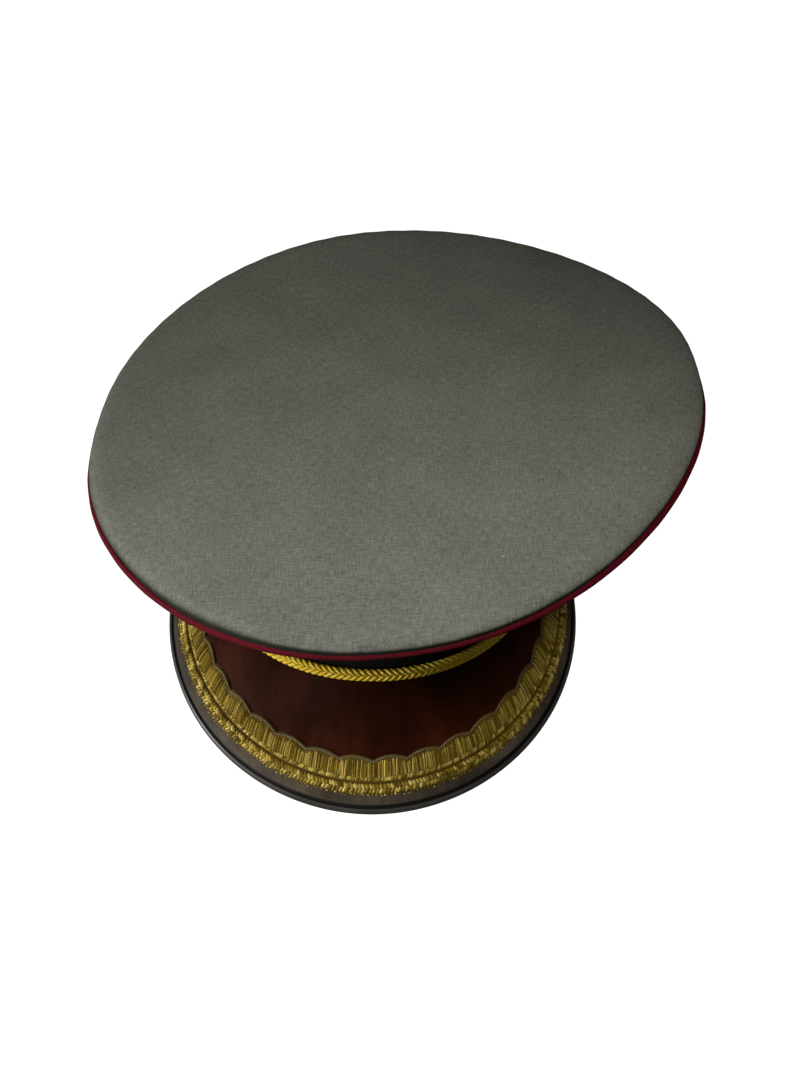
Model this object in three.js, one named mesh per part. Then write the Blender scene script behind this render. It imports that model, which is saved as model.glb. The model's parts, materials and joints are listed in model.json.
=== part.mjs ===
// A peaked cap: a wide, nearly flat cloth crown with a piped edge, a plain band, a sloping
// lacquered peak with a gold border, and a double gold chin cord between two side buttons.
// Millimetres, +Z up, front towards -Y. Every piece is modelled with the band's lower edge
// in the plane z = 0, and the whole cap is then leaned back as it rests on a table.
import * as THREE from 'three';

const { degToRad, lerp } = THREE.MathUtils;

// Spacing between neighbouring pieces
const GAP = 0.3;

// Band: an upright rounded oval wall around the head
const BAND_HALF_WIDTH = 84;
const BAND_HALF_LENGTH = 102;
const BAND_ROUNDNESS = 2.16;
const BAND_HEIGHT = 45;
const BAND_WALL = 2.5;
const BAND_COLUMNS = 64;

// Crown: the piped edge is a rounded oval that leans to one side and is a little twisted
const CROWN_HALF_WIDTH = 133.5;
const CROWN_HALF_LENGTH = 145.5;
const CROWN_ROUNDNESS = 2.28;
const CROWN_TAPER = 0.07;
const CROWN_SKEW = 0.027;
const CROWN_TWIST = -2.8;
const CROWN_RIPPLE = -5.5;
const CROWN_RIPPLE_PHASE = degToRad(-11.5);
const CROWN_CENTRE = new THREE.Vector3(9.7, -7.2, 83.8);
const CROWN_LEAN = new THREE.Euler(degToRad(-4.7), degToRad(-5.4), 0);
const CROWN_COLUMNS = 72;

// Section of the crown's top cloth from the middle over the rounded edge and back below:
// reach is a share of the way from the middle to the piped edge, height is above the piping
const TOP_SECTION = [
  { reach: 0.0, height: 9.0 },
  { reach: 0.5, height: 8.7 },
  { reach: 0.8, height: 8.1 },
  { reach: 0.92, height: 7.5 },
  { reach: 0.962, height: 6.9 },
  { reach: 0.981, height: 6.1 },
  { reach: 0.992, height: 5.0 },
  { reach: 0.9955, height: 3.7 },
  { reach: 0.992, height: 1.8 },
  { reach: 0.979, height: 1.8 },
  { reach: 0.972, height: 4.2 },
  { reach: 0.955, height: 5.4 },
  { reach: 0.8, height: 6.2 },
  { reach: 0.0, height: 7.1 },
];

// Piping: a round covered cord in the seam between the top and the sides
const PIPING_RADIUS = 1.5;
const PIPING_SIDES = 8;
const PIPING_COLUMNS = 84;

// Side panels: four cloth quarters that sweep up and out from the band to the piping
const SIDE_WALL = 2;
const SIDE_TOP_REACH = 0.986;
const SIDE_SEAM = degToRad(0.09);
const SIDE_COLUMNS = 16;
const SIDE_ROWS = 5;
const SIDE_FLARE = new THREE.CubicBezierCurve(
  new THREE.Vector2(0, 0),
  new THREE.Vector2(0.25, 0.4),
  new THREE.Vector2(0.65, 0.8),
  new THREE.Vector2(1, 1),
);
const SIDE_PANELS = [
  { name: 'crown_side_right', middle: 0 },
  { name: 'crown_side_back', middle: 90 },
  { name: 'crown_side_left', middle: 180 },
  { name: 'crown_side_front', middle: 270 },
];

// Peak: a stiff sheet that slopes down from the band's lower edge, with a rolled rim
const PEAK_SLOPE = degToRad(37);
const PEAK_LENGTH = 57.1;
const PEAK_HALF_WIDTH = 100.3;
const PEAK_WIDEST_AHEAD = 42.5;
const PEAK_HORN_SPAN = 68;
const PEAK_END_BEARING = degToRad(81.3);
const PEAK_THICKNESS = 2.4;
const PEAK_BOW = 1.5;
const PEAK_COLUMNS = 48;
const PEAK_ROWS = 6;
const RIM_RADIUS = 1.3;
const RIM_END_BEARING = degToRad(82.4);
const RIM_SIDES = 8;
const RIM_STEPS = 64;

// Gold border on the peak: insets are measured up the slope, square to the peak's outer edge
const BORDER_RAISE = 1.2;
const BORDER_ROWS = 2;
const BORDER_TO_BAND = 1.2;
const ROPE = { inset: 7.4, width: 4.5, endBearing: degToRad(75), columns: 64 };
const SCALLOPS = { inset: 12.6, width: 9.5, endBearing: degToRad(71), columns: 100 };
const SCALLOP_DEPTH = 1.9;
const SCALLOP_COUNT = 20;

// Chin cord: two strands, one above the other, across the front of the band
const CORD_RADIUS = 1.7;
const CORD_HEIGHTS = { chin_cord_lower: 6.7, chin_cord_upper: 10.4 };
const CORD_SIDES = 8;
const CORD_STEPS = 48;

// Side buttons: a domed head on a short shank that the cord ends meet
const BUTTON_BEARING = degToRad(84);
const BUTTON_HEIGHT = 8.55;
const BUTTON_RADIUS = 7;
const BUTTON_DOME = 3.2;
const BUTTON_EDGE = 1;
const SHANK_RADIUS = 2;
const SHANK_LENGTH = 2 * CORD_RADIUS + 2 * GAP;
const BUTTON_COLUMNS = 20;
const DOME_RINGS = 5;

// Finishes
const CLOTH = { color: '#64655d', roughness: 0.95, metalness: 0 };
const CRIMSON = { color: '#641e32', roughness: 0.9, metalness: 0 };
const BLACK_CLOTH = { color: '#141313', roughness: 0.95, metalness: 0 };
const LACQUER = { color: '#2a1a12', roughness: 0.25, metalness: 0 };
const BINDING = { color: '#3a3834', roughness: 0.4, metalness: 0 };
const GOLD_THREAD = { color: '#a8873a', roughness: 0.45, metalness: 0.7 };
const GILT = { color: '#c09a3f', roughness: 0.3, metalness: 1 };

// Moves every vertex of a ready-made geometry to the place that the function gives
function reshape(geometry, place) {
  const position = geometry.attributes.position;
  const vertex = new THREE.Vector3();
  for (let index = 0; index < position.count; index++) {
    vertex.fromBufferAttribute(position, index);
    const moved = place(vertex);
    position.setXYZ(index, moved.x, moved.y, moved.z);
  }
  geometry.computeVertexNormals();
  return geometry;
}

// A curved slab: place(u, v, w) gives the point for shares 0 to 1 of its three directions
function slab(columns, rows, place) {
  const block = new THREE.BoxGeometry(1, 1, 1, columns, rows, 1);
  return reshape(block, ({ x, y, z }) => place(x + 0.5, y + 0.5, z + 0.5));
}

// A solid ring or disc: place(angle, radius, height) gives the point, with angle from +X
function turned(profile, columns, place) {
  const lathe = new THREE.LatheGeometry(profile, columns);
  return reshape(lathe, ({ x, y, z }) => place(Math.atan2(x, z), Math.hypot(x, z), y));
}

// A round bar along a route of points
function bar(route, radius, sides, steps) {
  const section = new THREE.Shape();
  section.absarc(0, 0, radius, 0, 2 * Math.PI);
  const extrudePath = new THREE.CatmullRomCurve3(route);
  return new THREE.ExtrudeGeometry(section, { curveSegments: sides / 2, steps, extrudePath });
}

// Points of a route at even bearings from one end to the other
function routeOver(endBearing, steps, place) {
  const route = [];
  for (let step = 0; step <= steps; step++) {
    route.push(place(lerp(-endBearing, endBearing, step / steps)));
  }
  return route;
}

// A point off a surface along its normal, found from its two neighbours each way
function standOff(surface, u, v, distance) {
  const step = 0.001;
  const along = surface(u + step, v).sub(surface(u - step, v));
  const across = surface(u, v + step).sub(surface(u, v - step));
  const normal = along.cross(across).normalize();
  return surface(u, v).addScaledVector(normal, distance);
}

function piece(name, geometry, finish) {
  const mesh = new THREE.Mesh(geometry, new THREE.MeshStandardMaterial(finish));
  mesh.name = name;
  return mesh;
}

// How far out a rounded oval reaches at an angle, as a share of what a true oval does
function fullness(angle, roundness) {
  const size = Math.abs(Math.cos(angle)) ** roundness + Math.abs(Math.sin(angle)) ** roundness;
  return size ** (-1 / roundness);
}

// Band

function bandPoint(angle, depth, height) {
  const full = fullness(angle, BAND_ROUNDNESS);
  const x = (BAND_HALF_WIDTH - depth) * Math.cos(angle) * full;
  const y = (BAND_HALF_LENGTH - depth) * Math.sin(angle) * full;
  return new THREE.Vector3(x, y, height);
}

// Bearings run from the front, positive towards +X
function bandRadius(bearing) {
  const across = Math.abs(Math.sin(bearing)) / BAND_HALF_WIDTH;
  const ahead = Math.abs(Math.cos(bearing)) / BAND_HALF_LENGTH;
  return (across ** BAND_ROUNDNESS + ahead ** BAND_ROUNDNESS) ** (-1 / BAND_ROUNDNESS);
}

function atBearing(bearing, radius, height) {
  return new THREE.Vector3(radius * Math.sin(bearing), -radius * Math.cos(bearing), height);
}

function makeBand() {
  const outer = BAND_HALF_LENGTH;
  const inner = BAND_HALF_LENGTH - BAND_WALL;
  const profile = [
    new THREE.Vector2(outer, 0),
    new THREE.Vector2(outer, BAND_HEIGHT),
    new THREE.Vector2(inner, BAND_HEIGHT),
    new THREE.Vector2(inner, 0),
    new THREE.Vector2(outer, 0),
  ];
  const place = (angle, radius, height) => bandPoint(angle, outer - radius, height);
  return piece('band', turned(profile, BAND_COLUMNS, place), BLACK_CLOTH);
}

// Crown

function crownEdge(angle) {
  const across = Math.cos(angle) * fullness(angle, CROWN_ROUNDNESS);
  const along = Math.sin(angle) * fullness(angle, CROWN_ROUNDNESS);
  const y = CROWN_HALF_LENGTH * along;
  const x = CROWN_HALF_WIDTH * across * (1 + CROWN_TAPER * along);
  return new THREE.Vector2(x + CROWN_SKEW * y, y + CROWN_SKEW * x);
}

function crownPoint(angle, reach, height) {
  const edge = crownEdge(angle);
  const twist = CROWN_TWIST * Math.sin(2 * angle) * reach ** 2;
  const ripple = CROWN_RIPPLE * Math.sin(3 * angle + CROWN_RIPPLE_PHASE) * reach ** 3;
  const point = new THREE.Vector3(edge.x * reach, edge.y * reach, height + twist + ripple);
  return point.applyEuler(CROWN_LEAN).add(CROWN_CENTRE);
}

function makeCrownTop() {
  const profile = TOP_SECTION.map(({ reach, height }) => new THREE.Vector2(reach, height));
  return piece('crown_top', turned(profile.reverse(), CROWN_COLUMNS, crownPoint), CLOTH);
}

function makePiping() {
  const spread = CROWN_HALF_LENGTH;
  const torus = new THREE.TorusGeometry(spread, PIPING_RADIUS, PIPING_SIDES, PIPING_COLUMNS);
  const ring = reshape(torus, ({ x, y, z }) => {
    const angle = Math.atan2(y, x);
    const inset = spread + PIPING_RADIUS - Math.hypot(x, y);
    return crownPoint(angle, 1 - inset / crownEdge(angle).length(), z);
  });
  return piece('crown_piping', ring, CRIMSON);
}

function sideSurface(angle, climb) {
  const low = bandPoint(angle, 0, BAND_HEIGHT + GAP);
  const high = crownPoint(angle, SIDE_TOP_REACH, -PIPING_RADIUS - GAP);
  const flare = SIDE_FLARE.getPoint(climb);
  return new THREE.Vector3(
    lerp(low.x, high.x, flare.x),
    lerp(low.y, high.y, flare.x),
    lerp(low.z, high.z, flare.y),
  );
}

// The panel's two edges stay level with the band's top and with the piping that they meet
function sidePoint(angle, climb, depth) {
  if (climb === 0) {
    return bandPoint(angle, depth, BAND_HEIGHT + GAP);
  }
  if (climb === 1) {
    const reach = SIDE_TOP_REACH - depth / crownEdge(angle).length();
    return crownPoint(angle, reach, -PIPING_RADIUS - GAP);
  }
  return standOff(sideSurface, angle, climb, -depth);
}

function makeSidePanel({ name, middle }) {
  const quarter = Math.PI / 4 - SIDE_SEAM;
  const geometry = slab(SIDE_COLUMNS, SIDE_ROWS, (u, v, w) => {
    const angle = degToRad(middle) + lerp(-quarter, quarter, u);
    return sidePoint(angle, v, SIDE_WALL * (1 - w));
  });
  return piece(name, geometry, CLOTH);
}

// Peak

// Distance of the peak's outer edge from the cap's middle: an oval in front of the widest
// place, and a shorter one behind it that brings the two ends back to the band
function peakRadius(bearing) {
  const frontSpan = BAND_HALF_LENGTH + PEAK_LENGTH * Math.cos(PEAK_SLOPE) - PEAK_WIDEST_AHEAD;
  const widestBearing = Math.atan2(PEAK_HALF_WIDTH, PEAK_WIDEST_AHEAD);
  const span = Math.abs(bearing) < widestBearing ? frontSpan : PEAK_HORN_SPAN;
  const across = Math.sin(bearing) / PEAK_HALF_WIDTH;
  const ahead = Math.cos(bearing) / span;
  const shift = PEAK_WIDEST_AHEAD / span;
  const square = across ** 2 + ahead ** 2;
  const half = ahead * shift;
  return (half + Math.sqrt(half ** 2 - square * (shift ** 2 - 1))) / square;
}

// How much longer the way in from the edge is along the radius than square to the edge
function edgeSlant(bearing) {
  const step = 0.001;
  const change = (peakRadius(bearing + step) - peakRadius(bearing - step)) / (2 * step);
  return Math.hypot(1, change / peakRadius(bearing));
}

// Height of the peak above the band's lower edge, slightly bowed between band and rim
function peakHeight(bearing, radius) {
  const start = bandRadius(bearing);
  const share = (radius - start) / (peakRadius(bearing) - start);
  return PEAK_BOW * 4 * share * (1 - share) - Math.tan(PEAK_SLOPE) * (radius - start);
}

function makePeak() {
  const geometry = slab(PEAK_COLUMNS, PEAK_ROWS, (u, v, w) => {
    const bearing = lerp(-PEAK_END_BEARING, PEAK_END_BEARING, u);
    const inner = bandRadius(bearing) + GAP;
    const outer = peakRadius(bearing) - (2 * RIM_RADIUS + GAP) * edgeSlant(bearing);
    const radius = lerp(outer, inner, v);
    const height = peakHeight(bearing, radius) + PEAK_THICKNESS * (w - 0.5);
    return atBearing(bearing, radius, height);
  });
  return piece('peak', geometry, LACQUER);
}

function rimPoint(bearing) {
  const radius = peakRadius(bearing) - RIM_RADIUS * edgeSlant(bearing);
  return atBearing(bearing, radius, peakHeight(bearing, radius));
}

function makePeakRim() {
  const route = routeOver(RIM_END_BEARING, RIM_STEPS, rimPoint);
  return piece('peak_rim', bar(route, RIM_RADIUS, RIM_SIDES, RIM_STEPS), BINDING);
}

// A point of the peak's upper face, never nearer to the band than the border may come
function peakTop(bearing, inset) {
  const inward = inset * Math.cos(PEAK_SLOPE) * edgeSlant(bearing);
  const nearest = bandRadius(bearing) + BORDER_TO_BAND;
  const radius = Math.max(peakRadius(bearing) - inward, nearest);
  return atBearing(bearing, radius, peakHeight(bearing, radius) + PEAK_THICKNESS / 2);
}

// A raised strip on the peak, with even steps along it: reach(share) gives its width there
function borderStrip({ inset, endBearing, columns }, reach) {
  const route = routeOver(endBearing, columns, (bearing) => peakTop(bearing, inset));
  const line = new THREE.CatmullRomCurve3(route);
  return slab(columns, BORDER_ROWS, (u, v, w) => {
    const { x, y } = line.getPointAt(u);
    const point = peakTop(Math.atan2(x, -y), inset + reach(u) * v);
    return point.setZ(point.z + (GAP + BORDER_RAISE * w) / Math.cos(PEAK_SLOPE));
  });
}

function makeRopeBorder() {
  return piece('gold_rope_border', borderStrip(ROPE, () => ROPE.width), GOLD_THREAD);
}

function makeScallopBorder() {
  const reach = (share) => {
    const arch = Math.abs(Math.sin(Math.PI * SCALLOP_COUNT * share));
    return SCALLOPS.width + SCALLOP_DEPTH * arch;
  };
  return piece('gold_scallop_border', borderStrip(SCALLOPS, reach), GOLD_THREAD);
}

// Chin cord and side buttons

function makeCord([name, height]) {
  const reach = CORD_RADIUS + GAP;
  const shankShare = (SHANK_RADIUS + GAP) / bandRadius(BUTTON_BEARING);
  const route = routeOver(BUTTON_BEARING - shankShare, CORD_STEPS, (bearing) =>
    atBearing(bearing, bandRadius(bearing) + reach, height));
  return piece(name, bar(route, CORD_RADIUS, CORD_SIDES, CORD_STEPS), GOLD_THREAD);
}

function makeButton(name, side) {
  const profile = [
    new THREE.Vector2(0, 0),
    new THREE.Vector2(SHANK_RADIUS, 0),
    new THREE.Vector2(SHANK_RADIUS, SHANK_LENGTH),
    new THREE.Vector2(BUTTON_RADIUS, SHANK_LENGTH),
  ];
  for (let ring = 0; ring <= DOME_RINGS; ring++) {
    const rise = (Math.PI / 2) * (ring / DOME_RINGS);
    const height = SHANK_LENGTH + BUTTON_EDGE + BUTTON_DOME * Math.sin(rise);
    profile.push(new THREE.Vector2(BUTTON_RADIUS * Math.cos(rise), height));
  }
  profile[profile.length - 1].setX(0);
  const button = piece(name, new THREE.LatheGeometry(profile, BUTTON_COLUMNS), GILT);
  const bearing = side * BUTTON_BEARING;
  const across = (Math.sin(BUTTON_BEARING) / BAND_HALF_WIDTH) ** (BAND_ROUNDNESS - 1);
  const ahead = (Math.cos(BUTTON_BEARING) / BAND_HALF_LENGTH) ** (BAND_ROUNDNESS - 1);
  const steepness = new THREE.Vector3(side * across / BAND_HALF_WIDTH, -ahead / BAND_HALF_LENGTH, 0);
  const outward = steepness.normalize();
  button.quaternion.setFromUnitVectors(new THREE.Vector3(0, 1, 0), outward);
  button.position.copy(atBearing(bearing, bandRadius(bearing), BUTTON_HEIGHT));
  button.position.addScaledVector(outward, GAP);
  return button;
}

// The cap stands on the back of the band and on the rim of the peak
function restTilt() {
  const tilts = routeOver(RIM_END_BEARING, RIM_STEPS, rimPoint).map((centre) =>
    Math.atan2(RIM_RADIUS - centre.z, BAND_HALF_LENGTH - centre.y));
  return Math.max(...tilts);
}

function makeCap() {
  const cap = new THREE.Group();
  cap.add(makeCrownTop(), makePiping(), ...SIDE_PANELS.map(makeSidePanel), makeBand());
  cap.add(makePeak(), makePeakRim(), makeRopeBorder(), makeScallopBorder());
  cap.add(...Object.entries(CORD_HEIGHTS).map(makeCord));
  cap.add(makeButton('side_button_right', 1), makeButton('side_button_left', -1));
  return cap;
}

// The origin is below the middle of the resting cap, on the table
function standOnTable(cap) {
  const stood = new THREE.Group();
  stood.add(cap);
  cap.rotation.x = -restTilt();
  const box = new THREE.Box3().setFromObject(stood, true);
  const middle = box.getCenter(new THREE.Vector3());
  cap.position.set(-middle.x, -middle.y, -box.min.z);
  return stood;
}

export default standOnTable(makeCap());
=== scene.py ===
"""A peaked cap with a wide piped cloth crown, a lacquered peak with a gold border and a gold chin cord.

Sizes are in millimetres in the cap's own frame: the band's lower edge lies in the plane z = 0 and
the front points towards -y. The head_opening mount says where that frame stands.
"""

import json
import math

import bpy
import numpy as np
from mathutils import Matrix, Vector


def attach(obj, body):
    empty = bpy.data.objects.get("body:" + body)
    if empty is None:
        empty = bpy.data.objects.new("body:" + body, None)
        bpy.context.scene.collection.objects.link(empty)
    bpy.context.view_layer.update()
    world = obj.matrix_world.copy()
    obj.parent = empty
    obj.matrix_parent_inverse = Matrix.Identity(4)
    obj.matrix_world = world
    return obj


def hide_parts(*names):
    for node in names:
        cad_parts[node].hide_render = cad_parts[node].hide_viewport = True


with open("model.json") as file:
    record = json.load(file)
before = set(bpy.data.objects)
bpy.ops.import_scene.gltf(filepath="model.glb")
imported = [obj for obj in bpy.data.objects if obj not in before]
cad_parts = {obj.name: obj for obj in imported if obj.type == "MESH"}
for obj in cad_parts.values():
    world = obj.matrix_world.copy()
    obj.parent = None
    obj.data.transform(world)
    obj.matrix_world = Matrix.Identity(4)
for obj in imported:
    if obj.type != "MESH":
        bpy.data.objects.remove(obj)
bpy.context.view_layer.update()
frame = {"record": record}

# A millimetre in metres, and the gaps left off the band and at the seams
MM = 0.001
GAP = 0.3
SEAM_GAP = 0.05
SHARP_ANGLE = math.radians(55)
UPWARD = np.array([0.0, 0.0, 1.0])

# The band
BAND_HALF_WIDTH = 84.0
BAND_HALF_LENGTH = 102.0
BAND_ROUNDNESS = 2.16
BAND_HEIGHT = 45.0
BAND_WALL = 2.5
BAND_EDGE_ROUNDING = 0.4
BAND_SWELL = 0.35
BAND_COLUMNS = 240
BAND_ROWS = 14
BAND_CORNER_STEPS = 5
BAND_LENGTH_STEPS = 400

# The crown's piped edge
CROWN_HALF_WIDTH = 133.5
CROWN_HALF_LENGTH = 145.5
CROWN_ROUNDNESS = 2.28
CROWN_TAPER = 0.07
CROWN_SKEW = 0.027
CROWN_TWIST = -2.8
CROWN_RIPPLE = -5.5
CROWN_RIPPLE_PHASE = math.radians(-11.5)
CROWN_CENTRE = np.array([9.7, -7.2, 83.8])
CROWN_PITCH = math.radians(-4.7)
CROWN_ROLL = math.radians(-5.4)

# The top cloth's section: share of the way out to the piped edge, and height above the piping
TOP_OUTSIDE = [
    {"reach": 0.0, "height": 9.0},
    {"reach": 0.5, "height": 8.7},
    {"reach": 0.8, "height": 8.1},
    {"reach": 0.92, "height": 7.5},
    {"reach": 0.962, "height": 6.9},
    {"reach": 0.981, "height": 6.1},
    {"reach": 0.992, "height": 5.0},
    {"reach": 0.9955, "height": 3.7},
    {"reach": 0.992, "height": 1.35},
]
TOP_INSIDE = [
    {"reach": 0.979, "height": 1.35},
    {"reach": 0.972, "height": 4.2},
    {"reach": 0.955, "height": 5.4},
    {"reach": 0.8, "height": 6.2},
    {"reach": 0.0, "height": 7.1},
]
TOP_COLUMNS = 288
TOP_STEPS = 9

# The top cloth's waves, which grow towards its edge, and its puckers, which sway along the seam
TOP_WAVES = [
    {"size": 0.25, "count": 3, "phase": 1.0, "growth": 3},
    {"size": 0.18, "count": 5, "phase": -0.6, "growth": 5},
]
TOP_PUCKER_SIZE = 0.1
TOP_PUCKER_COUNT = 61
TOP_PUCKER_SWAY = {"size": 2.0, "count": 3, "phase": 0.0}
TOP_PUCKER_REACH = (0.93, 0.98)
TOP_WAVE_HEIGHT = (1.5, 4.0)

# The top cloth's edge hangs over at the middle of the front and tucks in beside it
TOP_FRONT_OVERHANG = 0.004
TOP_OVERHANG_NARROWNESS = 4
TOP_SIDE_TUCK = 0.007
TOP_TUCK_FORWARD = (-0.3, 0.2)
TOP_SHIFT_REACH = (0.94, 0.985)

# Painted shade in the fold under the top cloth's front edge: dark up to one height, clear from another,
# higher on the left
TOP_FOLD_SHADE = 0.9
TOP_FOLD_DARK_HEIGHT = 2.6
TOP_FOLD_DARK_RISE = 1.4
TOP_FOLD_CLEAR_HEIGHT = 4.4
TOP_FOLD_CLEAR_RISE = 1.9
TOP_FOLD_LEFTWARD = (0.1, 0.5)
TOP_FOLD_FORWARD = (-0.1, 0.6)

# The piping
PIPING_RADIUS = 1.5
PIPING_COLUMNS = 480
PIPING_SIDES = 14
PIPING_LUMPS = {"size": 0.05, "count": 37, "phase": 0.0}
PIPING_SWELL = {"size": 1.0, "count": 11, "phase": 1.0}

# The crown's side panels
SIDE_WALL = 2.0
SIDE_TOP_REACH = 0.986
SIDE_SEAM_ANGLE = math.radians(0.06)
SIDE_SEAM_ROLL = 0.9
SIDE_SEAM_WIDTH = 3.0
SIDE_SEAM_ENDS = 0.1
SIDE_NORMAL_MARGIN = 0.004
SIDE_WAVES = [
    {"size": 0.5, "count": 7, "phase": 1.3},
    {"size": 0.3, "count": 13, "phase": 0.0},
]
SIDE_INSIDE_WAVE_SHARE = 0.8
SIDE_FLARE_OUT = (0.0, 0.25, 0.65, 1.0)
SIDE_FLARE_UP = (0.0, 0.4, 0.8, 1.0)
SIDE_COLUMNS = 72
SIDE_ROWS = 26
SIDE_PANELS = {
    "crown_side_right": 0.0,
    "crown_side_back": 90.0,
    "crown_side_left": 180.0,
    "crown_side_front": 270.0,
}

# The peak
PEAK_SLOPE = math.radians(37)
PEAK_LENGTH = 57.1
PEAK_HALF_WIDTH = 100.3
PEAK_WIDEST_AHEAD = 42.5
PEAK_HORN_SPAN = 68.0
PEAK_END_BEARING = math.radians(82.4)
PEAK_THICKNESS = 2.4
PEAK_BOW = 1.5
PEAK_COLUMNS = 200
PEAK_ROWS = 40
PEAK_ROW_CROWDING = 1.6
PEAK_EDGE_INSET = 2.78
PEAK_EDGE_ROUNDING = 0.5
PEAK_ROUNDING_INSET = (PEAK_EDGE_INSET - 0.1, PEAK_EDGE_INSET + 1.0)
PEAK_MARGIN_END = 8.0
RIM_COLUMNS = 320
RIM_STEPS = 3
RIM_GROOVE_ROWS = slice(3, 12)

# The order of the materials on the peak and on its rim
LACQUER_FACE, MARGIN_FACE, UNDERSIDE_FACE = range(3)
BINDING_FACE, GROOVE_SHADE_FACE = range(2)

# The rim's section, a bead and a groove: way in from the peak's edge, and height above its middle
RIM_SECTION = [
    {"inset": 2.75, "height": -1.0},
    {"inset": 2.75, "height": 0.0},
    {"inset": 2.35, "height": -0.4},
    {"inset": 1.8, "height": -0.4},
    {"inset": 1.5, "height": 0.25},
    {"inset": 1.2, "height": 0.8},
    {"inset": 0.75, "height": 1.0},
    {"inset": 0.35, "height": 0.75},
    {"inset": 0.08, "height": 0.3},
    {"inset": 0.0, "height": -0.2},
    {"inset": 0.25, "height": -0.8},
    {"inset": 0.9, "height": -1.2},
    {"inset": 1.8, "height": -1.2},
]

# The gold border, measured up the slope from the peak's outer edge
BORDER_TO_BAND = 1.2
BORDER_FINE_STEPS = 3000
PADDING_ROWS = 9
PADDING_BASE = 0.1
PADDING_EDGE = 0.2
PADDING_RISE = 0.6
ROPE_START = 7.4
ROPE_END = 12.2
ROPE_END_BEARING = math.radians(75)
ROPE_COLUMNS = 220
ROPE_SEED = 7
ROPE_ROWS = [
    {"inset": 9.1, "width": 2.2, "slant": 1.5, "pitch": 1.6},
    {"inset": 10.9, "width": 2.0, "slant": -1.5, "pitch": 1.6},
]
EDGE_ROW = {"inset": 14.0, "width": 1.7, "slant": 1.2, "pitch": 1.15}
KNOT_INSET = 7.3
KNOT_PITCH = 1.9
KNOT_SIZE = 0.5
SCALLOP_START = 12.4
SCALLOP_WIDTH = 9.7
SCALLOP_DEPTH = 1.9
SCALLOP_COUNT = 20
SCALLOP_END_BEARING = math.radians(71)
SCALLOP_COLUMNS = 361
SCALLOP_SEED = 11
RIB_PITCH = 0.78
RIB_HEIGHT = 1.0
RIB_START = 2.2
OUTLINE_CORD_INSET = 0.8
OUTLINE_CORD_SIZE = 0.5
OUTLINE_CORD_LIFT = 0.45
OUTLINE_CORD_STEP = 0.32
OUTLINE_CORD_TWIST_PITCH = 1.3
OUTLINE_CORD_TWIST_DEPTH = 0.25

# Stitches stop short of the border's ends by these angles
ROW_END_MARGIN = 0.02
RIB_END_MARGIN = 0.01

# How each kind of stitch is laid: the ranges of its random stray, lean, size and tone,
# how much it arches, how thick its ends are, and its shape as shares of its pitch or size
STITCH_SIDES = 8
ROW_STITCH = {
    "steps": 8,
    "stray": (-0.2, 0.2),
    "lean": (0.8, 1.2),
    "size": (0.8, 1.15),
    "tone": (0.4, 1.4),
    "arch": 0.95,
    "end": 0.35,
    "half_width": 0.5,
    "height": 0.42,
    "lift": 0.3,
}
KNOT_STITCH = {
    "steps": 5,
    "stray": (-0.6, 0.6),
    "inset_stray": (-0.5, 0.5),
    "size": (0.6, 1.3),
    "tone": (0.5, 1.4),
    "arch": 0.9,
    "length": 1.8,
    "thickness": 0.7,
    "lift": 0.15,
    "rise": 0.3,
}
RIB_STITCH = {
    "steps": 11,
    "stray": (-0.22, 0.22),
    "short": (1.4, 2.8),
    "sway": (-0.5, 0.5),
    "size": (0.72, 1.12),
    "tone": (0.5, 1.4),
    "arch": 0.97,
    "half_width": 0.46,
    "side_end": 0.5,
    "height": 0.65,
    "height_end": 0.4,
    "lift": 0.25,
    "rise": 0.6,
}

# The order of the materials on the gold border
THREAD_FACE, PADDING_FACE, OUTLINE_FACE = range(3)

# The chin cord
CORD_RADIUS = 1.7
CORDS = [
    {"node": "chin_cord_lower", "height": 6.7, "twist": 1},
    {"node": "chin_cord_upper", "height": 10.4, "twist": -1},
]
CORD_STRANDS = 3
CORD_STRAND_SHARE = 0.48
CORD_PITCH = 8.4
CORD_STEP = 0.45
CORD_SIDES = 10
CORD_FINE_STEPS = 2000
CORD_TONES = (0.85, 1.1)

# The side buttons
BUTTONS = {"side_button_right": 1, "side_button_left": -1}
BUTTON_BEARING = math.radians(84)
BUTTON_HEIGHT = 8.55
BUTTON_COLUMNS = 48
BUTTON_STEPS = 3
BUTTON_DOME_RISE = 0.08
SHANK_RADIUS = 2.0

# A button's section: distance from its axis, and height off the band
BUTTON_SECTION = [
    {"radius": 2.0, "height": 0.0},
    {"radius": 2.0, "height": 4.0},
    {"radius": 6.6, "height": 4.05},
    {"radius": 7.0, "height": 4.4},
    {"radius": 7.0, "height": 4.9},
    {"radius": 6.6, "height": 5.3},
    {"radius": 6.1, "height": 5.25},
    {"radius": 5.8, "height": 5.5},
    {"radius": 5.2, "height": 6.3},
    {"radius": 4.2, "height": 7.1},
    {"radius": 2.9, "height": 7.75},
    {"radius": 1.4, "height": 8.1},
]

# The camera, about the cap's own frame
CAMERA_FOCUS = np.array([0.0, 0.0, 60.0])
CAMERA_ELEVATION = math.radians(47.56)
CAMERA_AZIMUTH = math.radians(-2.5)
CAMERA_ROLL = math.radians(2.056)
CAMERA_DISTANCE = 448.65
CAMERA_SHIFT_RIGHT = 14.29
CAMERA_SHIFT_UP = -52.74
FOCAL_LENGTH_PIXELS = 958.2
IMAGE_LONG_SIDE_PIXELS = 1080.0
SENSOR_WIDTH = 36.0

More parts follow.
